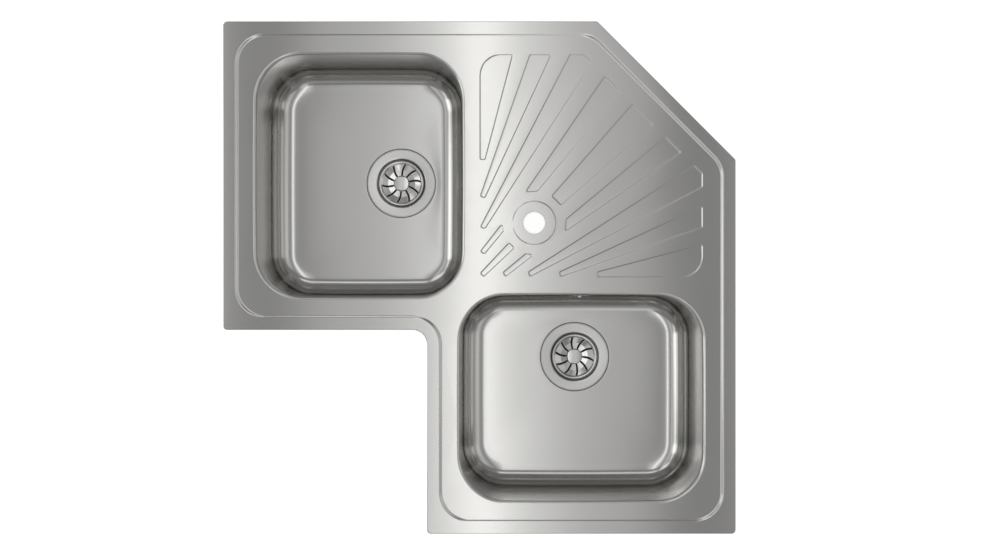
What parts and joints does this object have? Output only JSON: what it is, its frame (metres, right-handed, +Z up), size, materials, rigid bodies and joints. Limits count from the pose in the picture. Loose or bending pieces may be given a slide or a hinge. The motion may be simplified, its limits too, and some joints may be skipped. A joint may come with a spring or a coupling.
{
  "type": "corner kitchen sink",
  "caption": "Corner kitchen sink of pressed steel: a deep bowl on each arm, a fan-shaped ribbed drainer with a tap hole between them, lift-out basket wastes and swing-out clips.",
  "frame": {"origin": "centre of the square that bounds the outline, on the worktop surface", "axes": "+Z up, +X and +Y towards the cut-off corner that faces the room's corner; the arms mirror each other in the line Y = X"},
  "size_m": [0.83, 0.83, 0.2617],
  "materials": {
    "steel_brushed": "fine brushed stainless steel, satin, slightly warm grey",
    "steel_polished": "smooth stainless steel, brighter than the bowls",
    "zinc": "zinc-plated steel",
    "rubber": "black matt rubber",
    "foam": "grey closed-cell foam strip",
    "bitumen": "dark sound-deadening sheet",
    "plastic": "black moulded plastic",
    "hose": "grey ribbed plastic hose"
  },
  "bodies": {
    "sink": {"deck": "steel_brushed", "rim_seal": "foam", "bowl_left": "steel_brushed", "sound_pad_left": "bitumen", "waste_cup_left": "steel_polished", "waste_seal_left": "rubber", "waste_gasket_left": "rubber", "waste_body_left": "plastic", "waste_screw_left": "zinc", "bowl_right": "steel_brushed", "sound_pad_right": "bitumen", "waste_cup_right": "steel_polished", "waste_seal_right": "rubber", "waste_gasket_right": "rubber", "waste_body_right": "plastic", "waste_screw_right": "zinc", "overflow_rose": "steel_polished", "overflow_gasket": "rubber", "overflow_housing": "plastic", "overflow_screw": "steel_polished", "overflow_hose": "hose", "rail_1": "zinc", "rail_2": "zinc", "rail_3": "zinc", "rail_4": "zinc", "rail_5": "zinc", "rail_6": "zinc", "rail_7": "zinc", "clip_bolt_1": "zinc", "clip_bolt_2": "zinc", "clip_bolt_3": "zinc", "clip_bolt_4": "zinc", "clip_bolt_5": "zinc", "clip_bolt_6": "zinc", "clip_bolt_7": "zinc", "clip_bolt_8": "zinc", "clip_bolt_9": "zinc"},
    "basket_left": {"basket_dish_left": "steel_polished"},
    "stopper_left": {"basket_button_left": "steel_polished", "basket_stem_left": "zinc", "basket_stopper_left": "rubber"},
    "basket_right": {"basket_dish_right": "steel_polished"},
    "stopper_right": {"basket_button_right": "steel_polished", "basket_stem_right": "zinc", "basket_stopper_right": "rubber"},
    "claw_1": {"clip_claw_1": "zinc"},
    "claw_2": {"clip_claw_2": "zinc"},
    "claw_3": {"clip_claw_3": "zinc"},
    "claw_4": {"clip_claw_4": "zinc"},
    "claw_5": {"clip_claw_5": "zinc"},
    "claw_6": {"clip_claw_6": "zinc"},
    "claw_7": {"clip_claw_7": "zinc"},
    "claw_8": {"clip_claw_8": "zinc"},
    "claw_9": {"clip_claw_9": "zinc"}
  },
  "joints": [
    {"name": "basket_lift_left", "type": "slide", "parent": "sink", "child": "basket_left", "axis": [0, 0, 1], "range_m": [0, 0.25]},
    {"name": "stopper_lift_left", "type": "slide", "parent": "basket_left", "child": "stopper_left", "axis": [0, 0, 1], "range_m": [0, 0.008]},
    {"name": "basket_lift_right", "type": "slide", "parent": "sink", "child": "basket_right", "axis": [0, 0, 1], "range_m": [0, 0.25]},
    {"name": "stopper_lift_right", "type": "slide", "parent": "basket_right", "child": "stopper_right", "axis": [0, 0, 1], "range_m": [0, 0.008]},
    {"name": "claw_swing_1", "type": "hinge", "parent": "sink", "child": "claw_1", "pos_m": [-0.25, -0.049, -0.038], "axis": [0, 0, 1], "range_deg": [0, 90]},
    {"name": "claw_swing_2", "type": "hinge", "parent": "sink", "child": "claw_2", "pos_m": [-0.049, -0.25, -0.038], "axis": [0, 0, 1], "range_deg": [0, 90]},
    {"name": "claw_swing_3", "type": "hinge", "parent": "sink", "child": "claw_3", "pos_m": [0.165, -0.379, -0.038], "axis": [0, 0, 1], "range_deg": [0, 90]},
    {"name": "claw_swing_4", "type": "hinge", "parent": "sink", "child": "claw_4", "pos_m": [0.379, -0.2245, -0.038], "axis": [0, 0, 1], "range_deg": [0, 90]},
    {"name": "claw_swing_5", "type": "hinge", "parent": "sink", "child": "claw_5", "pos_m": [0.379, 0.0005, -0.038], "axis": [0, 0, 1], "range_deg": [0, 90]},
    {"name": "claw_swing_6", "type": "hinge", "parent": "sink", "child": "claw_6", "pos_m": [0.27754, 0.27754, -0.038], "axis": [0, 0, 1], "range_deg": [0, 90]},
    {"name": "claw_swing_7", "type": "hinge", "parent": "sink", "child": "claw_7", "pos_m": [0.0005, 0.379, -0.038], "axis": [0, 0, 1], "range_deg": [0, 90]},
    {"name": "claw_swing_8", "type": "hinge", "parent": "sink", "child": "claw_8", "pos_m": [-0.2245, 0.379, -0.038], "axis": [0, 0, 1], "range_deg": [0, 90]},
    {"name": "claw_swing_9", "type": "hinge", "parent": "sink", "child": "claw_9", "pos_m": [-0.379, 0.165, -0.038], "axis": [0, 0, 1], "range_deg": [0, 90]}
  ]
}
